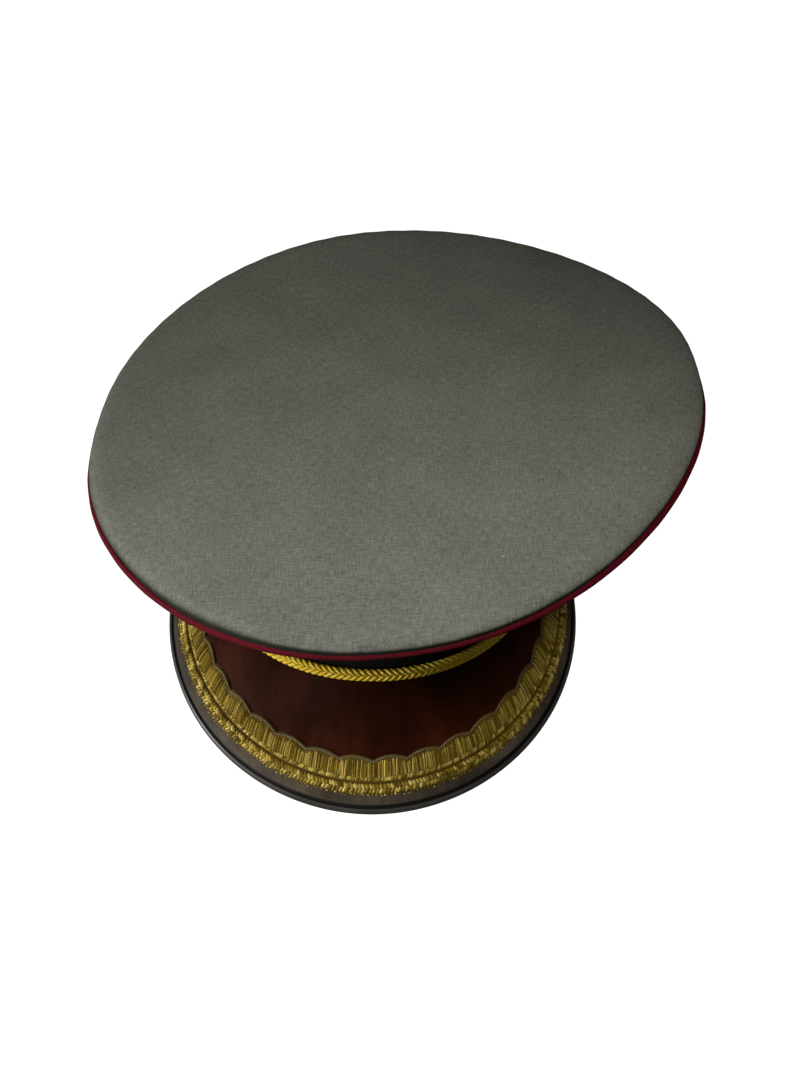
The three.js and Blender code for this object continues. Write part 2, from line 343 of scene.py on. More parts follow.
# The lights, in metres in the row frame
LIGHTS = [
    {"place": (-0.125, -0.12, 0.343), "size": 0.20, "power": 0.50, "mirrored": True},
    {"place": (-0.86, -0.31, 0.14), "size": 0.25, "power": 6.2, "mirrored": True},
    {"place": (0.10, -0.20, 0.50), "size": 0.08, "power": 0.72, "mirrored": False},
]
LIGHT_COLOUR = (1.0, 0.985, 0.95)
LIGHT_TARGET = (0.0, -0.03, 0.08)
WORLD_COLOUR = (1.0, 0.98, 0.8)
WORLD_STRENGTH = 0.07
FLOOR_HALF_SIZE = 3.0
FLOOR_DROP = 0.0004
FLOOR_COLOUR = (0.3, 0.3, 0.3, 1.0)
FLOOR_GLOW = 1.0

# The depth of the bump in the finishes, in metres
BUMP_DEPTH = 0.0004


# Frames and small helpers

def cap_axes():
    """The cap frame's origin and its three directions in the row frame."""
    mounts = {mount["name"]: mount for mount in frame["record"]["mounts"]}
    mount = mounts["head_opening"]
    up = -np.array(mount["axis"], float)
    along = np.array([0.0, up[2], -up[1]])
    return np.array(mount["pos_m"], float), np.array([[1.0, 0.0, 0.0], along, up])


CAP_ORIGIN, CAP_AXES = cap_axes()


def to_row(points):
    """Points in the cap frame, in millimetres, as points in the row frame, in metres."""
    return CAP_ORIGIN + MM * (np.asarray(points, float) @ CAP_AXES)


def unit(vectors):
    return vectors / np.linalg.norm(vectors, axis=-1, keepdims=True)


def stack(x, y, z):
    return np.stack(np.broadcast_arrays(x, y, z), -1).astype(float)


def ease(value, low, high):
    share = np.clip((value - low) / (high - low), 0, 1)
    return share * share * (3 - 2 * share)


def full_turn(steps):
    """Angles at even steps once round."""
    return np.linspace(0, 2 * math.pi, steps, endpoint=False)


def ring_wave(angle, size, count, phase):
    """A wave of a size that goes a number of times round the cap."""
    return size * np.sin(count * angle + phase)


def run_length(line):
    """Distance along a line of points from its start to each of them."""
    steps = np.linalg.norm(np.diff(line, axis=-2), axis=-1)
    start = np.zeros(steps.shape[:-1] + (1,))
    return np.concatenate([start, np.cumsum(steps, -1)], -1)


# Surfaces of the cap

def rounded_oval(angle, roundness):
    """The way across and along a rounded oval of size one, at an angle."""
    size = np.abs(np.cos(angle)) ** roundness + np.abs(np.sin(angle)) ** roundness
    fullness = size ** (-1 / roundness)
    return np.cos(angle) * fullness, np.sin(angle) * fullness


def band_point(angle, depth, height):
    across, along = rounded_oval(angle, BAND_ROUNDNESS)
    return stack((BAND_HALF_WIDTH - depth) * across, (BAND_HALF_LENGTH - depth) * along, height)


def crown_edge(angle):
    across, along = rounded_oval(angle, CROWN_ROUNDNESS)
    y = CROWN_HALF_LENGTH * along
    x = CROWN_HALF_WIDTH * across * (1 + CROWN_TAPER * along)
    return x + CROWN_SKEW * y, y + CROWN_SKEW * x


CROWN_LEAN = np.array(Matrix.Rotation(CROWN_PITCH, 3, "X") @ Matrix.Rotation(CROWN_ROLL, 3, "Y"))


def crown_point(angle, reach, height):
    x, y = crown_edge(angle)
    twist = CROWN_TWIST * np.sin(2 * angle) * reach ** 2
    ripple = CROWN_RIPPLE * np.sin(3 * angle + CROWN_RIPPLE_PHASE) * reach ** 3
    flat = stack(x * reach, y * reach, height + twist + ripple)
    return flat @ CROWN_LEAN.T + CROWN_CENTRE


def bezier(share, weights):
    first, second, third, last = weights
    rest = 1 - share
    near = rest ** 3 * first + 3 * rest ** 2 * share * second
    far = 3 * rest * share ** 2 * third + share ** 3 * last
    return near + far


def side_surface(angle, climb):
    low = band_point(angle, 0.0, BAND_HEIGHT + SEAM_GAP)
    high = crown_point(angle, SIDE_TOP_REACH, -PIPING_RADIUS - SEAM_GAP)
    out = bezier(climb, SIDE_FLARE_OUT)
    up = bezier(climb, SIDE_FLARE_UP)
    return low + (high - low) * stack(out, out, up)


def band_radius(bearing):
    across = np.abs(np.sin(bearing)) / BAND_HALF_WIDTH
    ahead = np.abs(np.cos(bearing)) / BAND_HALF_LENGTH
    return (across ** BAND_ROUNDNESS + ahead ** BAND_ROUNDNESS) ** (-1 / BAND_ROUNDNESS)


def at_bearing(bearing, radius, height):
    return stack(radius * np.sin(bearing), -radius * np.cos(bearing), height)


def peak_radius(bearing):
    front_span = BAND_HALF_LENGTH + PEAK_LENGTH * math.cos(PEAK_SLOPE) - PEAK_WIDEST_AHEAD
    widest = math.atan2(PEAK_HALF_WIDTH, PEAK_WIDEST_AHEAD)
    span = np.where(np.abs(bearing) < widest, front_span, PEAK_HORN_SPAN)
    across = np.sin(bearing) / PEAK_HALF_WIDTH
    ahead = np.cos(bearing) / span
    shift = PEAK_WIDEST_AHEAD / span
    square = across ** 2 + ahead ** 2
    half = ahead * shift
    return (half + np.sqrt(half ** 2 - square * (shift ** 2 - 1))) / square


def edge_slant(bearing):
    """How much longer the way in from the peak's edge is along the radius than square to the edge."""
    step = 0.001
    change = (peak_radius(bearing + step) - peak_radius(bearing - step)) / (2 * step)
    return np.hypot(1, change / peak_radius(bearing))


def peak_height(bearing, radius):
    start = band_radius(bearing)
    share = (radius - start) / (peak_radius(bearing) - start)
    return PEAK_BOW * 4 * share * (1 - share) - math.tan(PEAK_SLOPE) * (radius - start)


def peak_face(bearing, radius):
    return at_bearing(bearing, radius, peak_height(bearing, radius) + PEAK_THICKNESS / 2)


def border_radius(bearing, inset):
    """The radius at a way up the slope from the peak's outer edge, kept clear of the band."""
    inward = inset * math.cos(PEAK_SLOPE) * edge_slant(bearing)
    return np.maximum(peak_radius(bearing) - inward, band_radius(bearing) + BORDER_TO_BAND)


def peak_top(bearing, inset):
    """The peak's upper face, at a way up the slope from its outer edge."""
    return peak_face(bearing, border_radius(bearing, inset))


def normal_of(surface, first, second):
    step = 0.002
    along = surface(first + step, second) - surface(first - step, second)
    across = surface(first, second + step) - surface(first, second - step)
    return unit(np.cross(along, across))


def peak_normal(bearing, inset):
    return -normal_of(peak_face, bearing, border_radius(bearing, inset))


# Meshes

def smooth_section(rows, steps):
    """A smooth line through a short table, with a number of steps between its rows."""
    table = np.array([list(row.values()) for row in rows])
    padded = np.vstack([2 * table[0] - table[1], table, 2 * table[-1] - table[-2]])
    share = np.linspace(0, 1, steps, endpoint=False)[:, None]
    line = []
    for before, start, end, after in zip(padded, padded[1:], padded[2:], padded[3:]):
        second = 2 * before - 5 * start + 4 * end - after
        third = 3 * start - before - 3 * end + after
        line.append(start + ((end - before) * share + second * share ** 2 + third * share ** 3) / 2)
    return np.vstack([*line, table[-1:]])


def grid_quads(columns, rows, wrap_columns, wrap_rows):
    """Quads over points in columns and rows, and each corner's column and row."""
    column = np.arange(columns if wrap_columns else columns - 1)
    row = np.arange(rows if wrap_rows else rows - 1)
    left, low = (part.ravel() for part in np.meshgrid(column, row, indexing="ij"))
    corner_columns = np.stack([left, left + 1, left + 1, left], 1)
    corner_rows = np.stack([low, low, low + 1, low + 1], 1)
    quads = (corner_columns % columns) * rows + corner_rows % rows
    return quads, corner_columns, corner_rows


def loop_quads(columns, rows, wrap):
    """Quads of a closed body from columns of section loops. Its ends are closed unless it wraps."""
    quads, corner_columns, corner_rows = grid_quads(columns, rows, wrap, True)
    if wrap:
        return quads, corner_columns, corner_rows
    near = np.arange(rows // 2 - 1)
    far = rows - 1 - near
    start = np.stack([near, near + 1, far - 1, far], 1)
    end = start[:, ::-1]
    quads = np.vstack([quads, start, end + (columns - 1) * rows])
    corner_columns = np.vstack([corner_columns, 0 * start, 0 * end + columns - 1])
    corner_rows = np.vstack([corner_rows, start, end])
    return quads, corner_columns, corner_rows


def inside_out(points, quads):
    """Whether the quads of a closed body face inward."""
    first, second, third, fourth = np.moveaxis(points[quads] - points.mean(0), 1, 0)
    volume = np.sum(first * np.cross(second, third)) + np.sum(first * np.cross(third, fourth))
    return volume < 0


def make_mesh(name, points, quads, uv, triangles=()):
    """A smooth mesh of points in the cap frame, with a map for its finish."""
    mesh = bpy.data.meshes.new(name)
    faces = quads.tolist() + np.asarray(triangles).tolist()
    mesh.from_pydata(to_row(points).tolist(), [], faces)
    mesh.polygons.foreach_set("use_smooth", np.ones(len(faces), bool))
    layer = mesh.uv_layers.new(name="surface")
    layer.data.foreach_set("uv", np.asarray(uv, np.float32).ravel())
    if inside_out(points, quads):
        mesh.flip_normals()
    mesh.set_sharp_from_angle(angle=SHARP_ANGLE)
    return mesh


def mark_points(mesh, name, values):
    """Gives each point of a mesh a number, which its finish reads by name."""
    marks = mesh.attributes.new(name, "FLOAT", "POINT")
    marks.data.foreach_set("value", values.astype(np.float32))


def loop_body(name, loops, wrap, column_step, row_step):
    columns, rows = loops.shape[:2]
    quads, corner_columns, corner_rows = loop_quads(columns, rows, wrap)
    uv = np.stack([corner_columns * column_step, corner_rows * row_step], -1)
    return make_mesh(name, loops.reshape(-1, 3), quads, uv)


def pole_triangles(columns, rows):
    """Triangles that close the two ends of a turned body on two points after its own."""
    start = np.arange(columns) * rows
    following = np.roll(start, -1)
    first = np.full_like(start, columns * rows)
    low = np.stack([first, following, start], 1)
    high = np.stack([start + rows - 1, following + rows - 1, first + 1], 1)
    return np.vstack([low, high])


def turned_body(name, points, ends, plan):
    """A body of closed rings, shut at both ends on a point. The plan maps its points, then its ends."""
    columns, rows = points.shape[:2]
    quads, _, _ = grid_quads(columns, rows, True, False)
    caps = pole_triangles(columns, rows)
    corners = np.concatenate([quads.ravel(), caps.ravel()])
    return make_mesh(name, np.vstack([points.reshape(-1, 3), ends]), quads, plan[corners], caps)


def add_object(name, data):
    thing = bpy.data.objects.new(name, data)
    bpy.context.scene.collection.objects.link(thing)
    return thing


def add_piece(mesh, slot, node, *materials):
    """A piece of the cap that stands for a CAD node and takes the finishes given to it. Its slot is not
    used.
    """
    piece = add_object(mesh.name, mesh)
    for material in materials:
        mesh.materials.append(material)
    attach(piece, "root")
    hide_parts(node)
    return piece


# Stitches and strands

def bars(centres, sides, normals, half_widths, heights, around, tones, material=THREAD_FACE):
    """Closed rounded bars from arrays over bars and steps along them."""
    count, steps = centres.shape[:2]
    turn = full_turn(around)
    across = np.cos(turn)[:, None] * (sides * half_widths[..., None])[:, :, None]
    upward = np.sin(turn)[:, None] * (normals * heights[..., None])[:, :, None]
    points = centres[:, :, None] + across + upward
    quads, corner_columns, corner_rows = loop_quads(steps, around, False)
    along = run_length(centres)[:, corner_columns]
    turns = np.broadcast_to(corner_rows / around, along.shape)
    offsets = np.arange(count)[:, None, None] * steps * around
    return {
        "points": points.reshape(-1, 3),
        "quads": (quads + offsets).reshape(-1, 4),
        "uv": np.stack([turns, along], -1).reshape(-1, 4, 2),
        "tones": np.repeat(tones, steps * around),
        "material": material,
    }


def surface_bars(bearing, inset, lift, half_widths, heights, tones, material=THREAD_FACE):
    """Bars that lie on the peak along lines of bearings and insets."""
    centres = peak_top(bearing, inset)
    normals = peak_normal(bearing, inset)
    along = unit(np.gradient(centres, axis=1))
    sides = unit(np.cross(normals, along))
    raised = centres + normals * lift[..., None]
    return bars(raised, sides, normals, half_widths, heights, STITCH_SIDES, tones, material)


def strip_part(loops, material):
    """A strip under the stitches, from columns of section loops."""
    columns, rows = loops.shape[:2]
    quads, corner_columns, corner_rows = loop_quads(columns, rows, False)
    return {
        "points": loops.reshape(-1, 3),
        "quads": quads,
        "uv": np.stack([corner_rows, corner_columns], -1).astype(float),
        "tones": np.ones(columns * rows),
        "material": material,
    }


def stitched_mesh(name, parts):
    """Joins bars and strips into one mesh, with a tone for every point."""
    for part in parts:
        if inside_out(part["points"], part["quads"]):
            part["quads"] = part["quads"][:, ::-1]
            part["uv"] = part["uv"][:, ::-1]
    starts = np.cumsum([0] + [len(part["points"]) for part in parts])
    points = np.vstack([part["points"] for part in parts])
    quads = np.vstack([part["quads"] + start for part, start in zip(parts, starts)])
    uv = np.concatenate([part["uv"] for part in parts])
    mesh = make_mesh(name, points, quads, uv)
    mark_points(mesh, "tone", np.concatenate([part["tones"] for part in parts]))
    numbers = [np.full(len(part["quads"]), part["material"], np.int32) for part in parts]
    mesh.polygons.foreach_set("material_index", np.concatenate(numbers))
    return mesh


# Materials

def shade(colour, factor):
    return tuple(min(channel * factor, 1.0) for channel in colour)


class Finish:
    """A material built up from noise, waves and ramps around its shader."""

    def __init__(self, name):
        self.material = bpy.data.materials.new(name)
        self.material.use_nodes = True
        self.nodes = self.material.node_tree.nodes
        self.links = self.material.node_tree.links
        self.shader = self.nodes["Principled BSDF"]

    def place(self):
        return self.nodes.new("ShaderNodeTexCoord").outputs["Object"]

    def surface(self):
        return self.nodes.new("ShaderNodeUVMap").outputs["UV"]

    def parts(self, vector):
        split = self.nodes.new("ShaderNodeSeparateXYZ")
        self.links.new(vector, split.inputs[0])
        return split.outputs[0], split.outputs[1]

    def attribute(self, name):
        node = self.nodes.new("ShaderNodeAttribute")
        node.attribute_name = name
        return node.outputs["Fac"]

    def math(self, operation, first, second=0.0):
        node = self.nodes.new("ShaderNodeMath")
        node.operation = operation
        for socket, value in zip(node.inputs, (first, second)):
            if isinstance(value, (int, float)):
                socket.default_value = value
            else:
                self.links.new(value, socket)
        return node.outputs[0]

    def total(self, *terms):
        """The sum of (value, weight) pairs."""
        weighted = [self.math("MULTIPLY", value, weight) for value, weight in terms]
        result = weighted[0]
        for term in weighted[1:]:
            result = self.math("ADD", result, term)
        return result

    def wave(self, value, length):
        return self.math("SINE", self.math("MULTIPLY", value, 2 * math.pi / length))

    def noise(self, vector, scale, detail=2.0, stretch=(1.0, 1.0, 1.0)):
        mapping = self.nodes.new("ShaderNodeMapping")
        mapping.inputs["Scale"].default_value = [scale * share for share in stretch]
        self.links.new(vector, mapping.inputs["Vector"])
        noise = self.nodes.new("ShaderNodeTexNoise")
        noise.inputs["Scale"].default_value = 1.0
        noise.inputs["Detail"].default_value = detail
        self.links.new(mapping.outputs["Vector"], noise.inputs["Vector"])
        return noise.outputs["Fac"]

    def specks(self, vector, scale, detail, above):
        """1 in the few places where a noise rises above a level, and 0 elsewhere."""
        return self.math("GREATER_THAN", self.noise(vector, scale, detail), above)

    def ramp(self, factor, *stops):
        """A colour ramp from (place, colour) pairs."""
        ramp = self.nodes.new("ShaderNodeValToRGB")
        elements = ramp.color_ramp.elements
        while len(elements) < len(stops):
            elements.new(1.0)
        for element, (place, colour) in zip(elements, stops):
            element.position = place
            element.color = (*colour, 1.0)
        self.links.new(factor, ramp.inputs["Fac"])
        return ramp.outputs["Color"]

    def mix(self, factor, first, colour):
        mix = self.nodes.new("ShaderNodeMix")
        mix.data_type = "RGBA"
        self.links.new(factor, mix.inputs["Factor"])
        self.links.new(first, mix.inputs["A"])
        mix.inputs["B"].default_value = (*colour, 1.0)
        return mix.outputs["Result"]

    def paint(self, colour):
        self.links.new(colour, self.shader.inputs["Base Color"])

    def gloss(self, value):
        self.links.new(value, self.shader.inputs["Roughness"])

    def bump(self, height, strength):
        bump = self.nodes.new("ShaderNodeBump")
        bump.inputs["Strength"].default_value = strength
        bump.inputs["Distance"].default_value = BUMP_DEPTH
        self.links.new(height, bump.inputs["Height"])
        self.links.new(bump.outputs["Normal"], self.shader.inputs["Normal"])

    def set(self, **values):
        for key, value in values.items():
            self.shader.inputs[key.replace("_", " ")].default_value = value


def cloth(name, colour, thread):
    """Woven wool: uneven threads both ways, soft clouding and a few lint specks, with painted shade where
    a piece marks its fold.
    """
    finish = Finish(name)
    surface = finish.surface()
    across, along = finish.parts(surface)
    weave = finish.math("MULTIPLY", finish.wave(across, 2 * thread), finish.wave(along, 2 * thread))
    warp = finish.noise(surface, scale=1 / thread, detail=1.0, stretch=(1.1, 0.2, 1.0))
    weft = finish.noise(surface, scale=1 / thread, detail=1.0, stretch=(0.2, 1.1, 1.0))
    fuzz = finish.noise(surface, scale=1.3 / thread)
    cloud = finish.noise(surface, scale=0.03)
    tone = finish.total((warp, 0.3), (weft, 0.3), (fuzz, 0.25), (cloud, 0.15), (weave, 0.03))
    base = finish.ramp(tone, (0.3, shade(colour, 0.5)), (0.5, colour), (0.7, shade(colour, 1.6)))
    lint = finish.specks(surface, scale=0.5, detail=0.0, above=0.87)
    specked = finish.mix(lint, base, shade(colour, 2.0))
    # Painted shade: the colour darkens where the piece marks its fold in shadow
    finish.paint(finish.mix(finish.attribute("fold"), specked, shade(colour, 0.1)))
    finish.bump(tone, strength=0.4)
    finish.set(Roughness=0.9, Specular_IOR_Level=0.1)
    return finish.material


def lacquer(name, colour, roughness, specular, grain):
    """Dark lacquered leather, a little uneven in tone and gloss, with dust and fine scuffs."""
    finish = Finish(name)
    place = finish.place()
    cloud = finish.noise(place, scale=45.0, detail=4.0)
    scuff = finish.noise(place, scale=300.0, stretch=(1.0, 0.12, 0.3))
    tone = finish.total((cloud, 0.75), (scuff, 0.25))
    base = finish.ramp(tone, (0.35, shade(colour, 0.6)), (0.5, colour), (0.65, shade(colour, 1.6)))
    dust = finish.specks(place, scale=420.0, detail=1.0, above=0.80)
    finish.paint(finish.mix(dust, base, shade(colour, 3.0)))
    unevenness = finish.total((cloud, 0.2), (scuff, 0.1))
    mean_unevenness = 0.15
    finish.gloss(finish.math("ADD", unevenness, roughness - mean_unevenness))
    finish.bump(finish.noise(place, scale=900.0), strength=grain)
    finish.set(Specular_IOR_Level=specular)
    return finish.material


def metal_thread(name, dull, colour, bright, roughness, metallic, winding):
    """Metal thread wound round a core: bright turns, dull gaps and patches of tarnish."""
    finish = Finish(name)
    turns, along = finish.parts(finish.surface())
    place = finish.place()
    wound = finish.wave(finish.total((along, 1.0), (turns, winding)), winding)
    fine = finish.noise(place, scale=1500.0)
    tarnish = finish.noise(place, scale=130.0)
    tone = finish.total((finish.attribute("tone"), 0.5), (fine, 0.3), (tarnish, 0.2), (wound, 0.03))
    finish.paint(finish.ramp(tone, (0.45, dull), (0.7, colour), (0.92, bright)))
    finish.bump(finish.total((wound, 0.5), (fine, 1.0)), strength=0.45)
    finish.set(Roughness=roughness, Metallic=metallic)
    return finish.material


def mottled(name, colour, roughness, metallic=0.0):
    """A plain finish with slight mottling and fine unevenness."""
    finish = Finish(name)
    place = finish.place()
    cloud = finish.noise(place, scale=60.0, detail=3.0)
    finish.paint(finish.ramp(cloud, (0.3, shade(colour, 0.75)), (0.7, shade(colour, 1.25))))
    finish.bump(finish.noise(place, scale=700.0), strength=0.12)
    finish.set(Roughness=roughness, Metallic=metallic)
    return finish.material


CROWN_CLOTH = cloth("crown_cloth", colour=(0.129, 0.131, 0.114), thread=0.75)
CRIMSON_CLOTH = cloth("crimson_cloth", colour=(0.084, 0.0045, 0.010), thread=0.9)
# The band's near-black colour is partly its own dark cloth and partly painted shade for the deep shade
# under the crown
BAND_CLOTH = cloth("band_cloth", colour=(0.008, 0.007, 0.007), thread=0.8)
LACQUER = lacquer("lacquer", colour=(0.034, 0.0072, 0.0025), roughness=0.42, specular=0.07, grain=0.05)
MARGIN = lacquer("peak_margin", colour=(0.074, 0.060, 0.043), roughness=0.55, specular=0.04, grain=0.1)
UNDERSIDE = mottled("peak_underside", colour=(0.030, 0.026, 0.022), roughness=0.7)
BINDING = mottled("binding", colour=(0.056, 0.052, 0.048), roughness=0.42)
# Painted shade: the rim's groove is coloured near black for the shade in its recess
GROOVE_SHADE = mottled("rim_groove_shade", colour=(0.006, 0.005, 0.004), roughness=0.6)
PADDING = mottled("gold_padding", colour=(0.13, 0.078, 0.006), roughness=0.85)
GILT = mottled("gilt", colour=(0.50, 0.36, 0.12), roughness=0.3, metallic=1.0)
GOLD = metal_thread(
    "gold_thread",
    dull=(0.15, 0.095, 0.008),
    colour=(0.46, 0.32, 0.035),
    bright=(0.85, 0.67, 0.18),
    roughness=0.4,
    metallic=0.3,
    winding=0.35,
)
PALE_GOLD = metal_thread(
    "pale_gold_thread",
    dull=(0.07, 0.051, 0.020),
    colour=(0.15, 0.115, 0.052),
    bright=(0.24, 0.195, 0.10),
    roughness=0.5,
    metallic=0.2,
    winding=0.35,
)
CORD_GOLD = metal_thread(
    "cord_gold",
    dull=(0.62, 0.38, 0.006),
    colour=(1.0, 0.70, 0.03),
    bright=(1.0, 0.86, 0.14),
    roughness=0.36,
    metallic=0.05,
    winding=0.4,
)


# The crown

def top_unevenness(angle, reach, height):
    """How far the top cloth rises and falls in waves and puckers, which die out at its seam."""
    waves = [
        ring_wave(angle, wave["size"], wave["count"], wave["phase"]) * reach ** wave["growth"]
        for wave in TOP_WAVES
    ]
    sway = ring_wave(angle, **TOP_PUCKER_SWAY)
    pucker = ring_wave(angle, TOP_PUCKER_SIZE, TOP_PUCKER_COUNT, sway) * ease(reach, *TOP_PUCKER_REACH)
    return (sum(waves) + pucker) * ease(height, *TOP_WAVE_HEIGHT)


def top_reach(angle, reach):
    """The top cloth's reach, with its edge hung over and tucked in at the front."""
    forward = -np.sin(angle)
    middle = np.clip(forward, 0, 1) ** TOP_OVERHANG_NARROWNESS
    tuck = TOP_SIDE_TUCK * ease(forward, *TOP_TUCK_FORWARD) * (1 - middle)
    shift = TOP_FRONT_OVERHANG * middle - tuck
    return reach * (1 + shift * ease(reach, *TOP_SHIFT_REACH))


def top_fold_shade(angle, height):
    """How deep the top cloth lies in the painted shade of the fold under its front edge, from 0 to 1."""
    leftward = ease(-np.cos(angle), *TOP_FOLD_LEFTWARD)
    dark = TOP_FOLD_DARK_HEIGHT + TOP_FOLD_DARK_RISE * leftward
    clear = TOP_FOLD_CLEAR_HEIGHT + TOP_FOLD_CLEAR_RISE * leftward
    return TOP_FOLD_SHADE * (1 - ease(height, dark, clear)) * ease(-np.sin(angle), *TOP_FOLD_FORWARD)


def top_cloth():
    outside = smooth_section(TOP_OUTSIDE, TOP_STEPS)
    inside = smooth_section(TOP_INSIDE, TOP_STEPS // 2)
    section = np.vstack([outside[1:], inside[:-1]])
    reach = section[:, 0]
    height = section[:, 1]
    angle = full_turn(TOP_COLUMNS)[:, None]
    points = crown_point(angle, top_reach(angle, reach), height + top_unevenness(angle, reach, height))
    middles = np.stack([crown_point(0.0, 0.0, outside[0, 1]), crown_point(0.0, 0.0, inside[-1, 1])])
    x, y = crown_edge(angle)
    plan = np.vstack([np.stack([x * reach, y * reach], -1).reshape(-1, 2), np.zeros((2, 2))])
    mesh = turned_body("crown_top_cloth", points, middles, plan)
    # Marks where the painted shade of the fold falls on the top cloth
    mark_points(mesh, "fold", np.append(top_fold_shade(angle, height), [0.0, 0.0]))
    piece = add_piece(mesh, "crown_cloth", "crown_top", CROWN_CLOTH)


def edge_piping():
    angle = full_turn(PIPING_COLUMNS)[:, None]
    around = full_turn(PIPING_SIDES)
    size = PIPING_RADIUS * (1 + ring_wave(angle, **PIPING_LUMPS) * ring_wave(angle, **PIPING_SWELL))
    inset = PIPING_RADIUS - size * np.cos(around)
    reach = 1 - inset / np.hypot(*crown_edge(angle))
    loops = crown_point(angle, reach, size * np.sin(around))
    column_step = 2 * math.pi * CROWN_HALF_LENGTH / PIPING_COLUMNS
    row_step = 2 * math.pi * PIPING_RADIUS / PIPING_SIDES
    mesh = loop_body("crown_edge_piping", loops, True, column_step, row_step)
    add_piece(mesh, "crimson_piping", "crown_piping", CRIMSON_CLOTH)


def side_panel(node, middle):
    """A quarter of the crown's side, with its upright edges turned in at the seams."""
    quarter = math.pi / 4 - SIDE_SEAM_ANGLE
    angle = math.radians(middle) + np.linspace(-quarter, quarter, SIDE_COLUMNS)[:, None]
    climb = np.linspace(0, 1, SIDE_ROWS)
    surface = side_surface(angle, climb)
    inner_climb = np.clip(climb, SIDE_NORMAL_MARGIN, 1 - SIDE_NORMAL_MARGIN)
    normal = normal_of(side_surface, angle, inner_climb)
    to_seam = (quarter - np.abs(angle - math.radians(middle))) * BAND_HALF_LENGTH
    off_ends = ease(climb, 0, SIDE_SEAM_ENDS) * (1 - ease(climb, 1 - SIDE_SEAM_ENDS, 1))
    roll = SIDE_SEAM_ROLL * (1 - ease(to_seam, 0, SIDE_SEAM_WIDTH)) * off_ends
    soft = np.sin(math.pi * climb) * sum(ring_wave(angle, **wave) for wave in SIDE_WAVES)
    outside = surface + normal * (soft - roll)[..., None]
    inside = surface + normal * (soft * SIDE_INSIDE_WAVE_SHARE - SIDE_WALL)[..., None]
    level = angle[:, 0]
    depth = SIDE_WALL / np.hypot(*crown_edge(level))
    inside[:, 0] = band_point(level, SIDE_WALL, BAND_HEIGHT + SEAM_GAP)
    inside[:, -1] = crown_point(level, SIDE_TOP_REACH - depth, -PIPING_RADIUS - SEAM_GAP)
    width = run_length(surface[:, -1])[-1]
    heights = run_length(surface)[:, -1]
    height = heights.max()
    loops = np.concatenate([outside, inside[:, ::-1]], axis=1)
    mesh = loop_body(node + "_cloth", loops, False, width / SIDE_COLUMNS, height / SIDE_ROWS)
    piece = add_piece(mesh, "crown_cloth", node, CROWN_CLOTH)


# The band

def band_section():
    """The band's section as depths and heights: rounded edges, a slight swell outside, flat inside."""
    corner = np.linspace(0, math.pi / 2, BAND_CORNER_STEPS)
    rise = np.linspace(BAND_EDGE_ROUNDING, BAND_HEIGHT - BAND_EDGE_ROUNDING, BAND_ROWS)
    near = BAND_EDGE_ROUNDING * (1 - np.sin(corner))
    far = BAND_EDGE_ROUNDING * (1 - np.cos(corner))
    low = np.stack([near, far], 1)
    high = np.stack([far, BAND_HEIGHT - near], 1)
    swell = BAND_SWELL * np.sin(math.pi * rise / BAND_HEIGHT)
    wall = np.stack([-swell, rise], 1)[1:-1]
    inner = np.stack([np.full(BAND_ROWS, BAND_WALL), rise[::-1]], 1)
    return np.vstack([low, wall, high, inner])


def head_band():
    section = band_section()
    angle = full_turn(BAND_COLUMNS)[:, None]
    loops = band_point(angle, section[:, 0], section[:, 1])
    length = run_length(band_point(np.linspace(0, 2 * math.pi, BAND_LENGTH_STEPS), 0.0, 0.0))[-1]
    mesh = loop_body("head_band", loops, True, length / BAND_COLUMNS, BAND_HEIGHT / BAND_ROWS)
    piece = add_piece(mesh, "band_cloth", "band", BAND_CLOTH)


# The peak

def face_grid(mesh, columns, rows, material):
    """A material number for every face of a body of loops, and the numbers between its columns."""
    numbers = np.full(len(mesh.polygons), material, np.int32)
    return numbers, numbers[:(columns - 1) * rows].reshape(columns - 1, rows)


def peak_sheet():
    bearing = np.linspace(-PEAK_END_BEARING, PEAK_END_BEARING, PEAK_COLUMNS)[:, None]
    inner = band_radius(bearing) + SEAM_GAP
    outer = peak_radius(bearing) - PEAK_EDGE_INSET * edge_slant(bearing)
    radius = outer + (inner - outer) * np.linspace(0, 1, PEAK_ROWS) ** PEAK_ROW_CROWDING
    middle = at_bearing(bearing, radius, peak_height(bearing, radius))
    inset = (peak_radius(bearing) - radius) / edge_slant(bearing)
    rounding = PEAK_EDGE_ROUNDING * (1 - ease(inset, *PEAK_ROUNDING_INSET))
    half = stack(0.0, 0.0, PEAK_THICKNESS / 2 - rounding)
    loops = np.concatenate([middle + half, (middle - half)[:, ::-1]], axis=1)
    mesh = loop_body("peak_sheet", loops, False, 1.0, 1.0)
    add_piece(mesh, "lacquered_peak", "peak", LACQUER, MARGIN, UNDERSIDE)
    numbers, grid = face_grid(mesh, PEAK_COLUMNS, 2 * PEAK_ROWS, UNDERSIDE_FACE)
    on_margin = inset[1:, :-1] < PEAK_MARGIN_END * math.cos(PEAK_SLOPE)
    grid[:, :PEAK_ROWS - 1] = np.where(on_margin, MARGIN_FACE, LACQUER_FACE)
    mesh.polygons.foreach_set("material_index", numbers)


